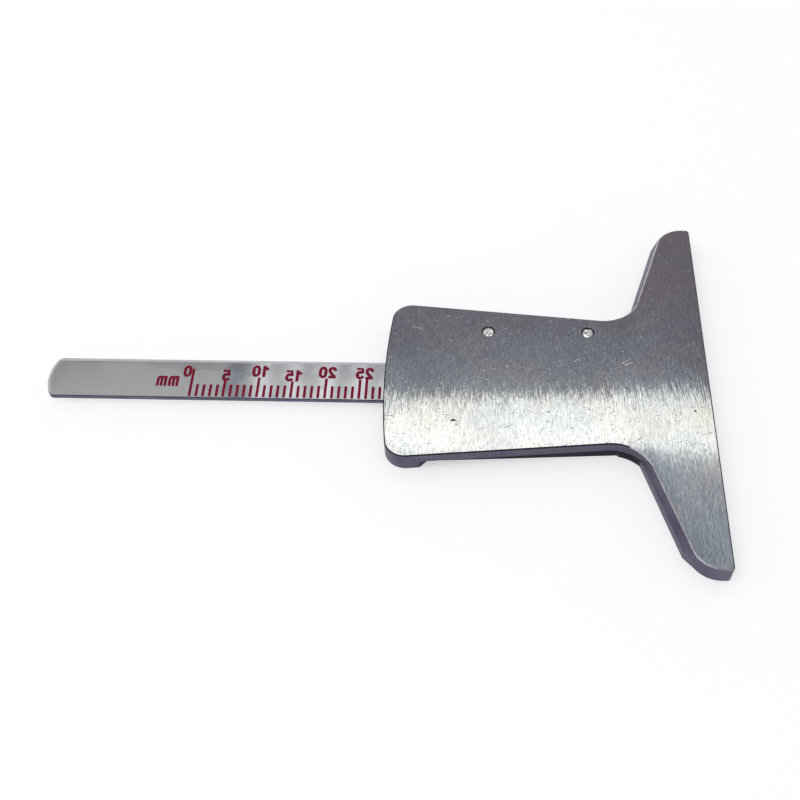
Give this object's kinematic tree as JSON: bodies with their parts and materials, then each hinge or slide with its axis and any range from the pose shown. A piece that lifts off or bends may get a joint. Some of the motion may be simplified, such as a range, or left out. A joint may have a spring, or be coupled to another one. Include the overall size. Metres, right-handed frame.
{
  "type": "tread depth gauge",
  "caption": "T-shaped steel tread depth gauge with a sliding millimetre rule held by a brake spring.",
  "frame": {"origin": "where the rule's centre line crosses the datum face, at the level of the rear face that the gauge rests on", "axes": "+X out of the datum face along the rule, +Y across the gauge along the head, +Z out of the plain front plate"},
  "size_m": [0.097, 0.06, 0.0032],
  "materials": {
    "ground_steel": "ground across the rule's length",
    "rule_steel": "fine satin with a red engraved scale",
    "spring_steel": "plain hardened strip",
    "rivet_steel": "hammered and ground flush"
  },
  "bodies": {
    "body": {"front_plate": "ground_steel", "back_plate": "ground_steel", "brake_spring": "spring_steel", "rear_rivet": "rivet_steel", "front_rivet": "rivet_steel"},
    "rule": {"rule": "rule_steel"}
  },
  "joints": [
    {"name": "rule_slide", "type": "slide", "parent": "body", "child": "rule", "axis": [1, 0, 0], "range_m": [0, 0.03]}
  ]
}
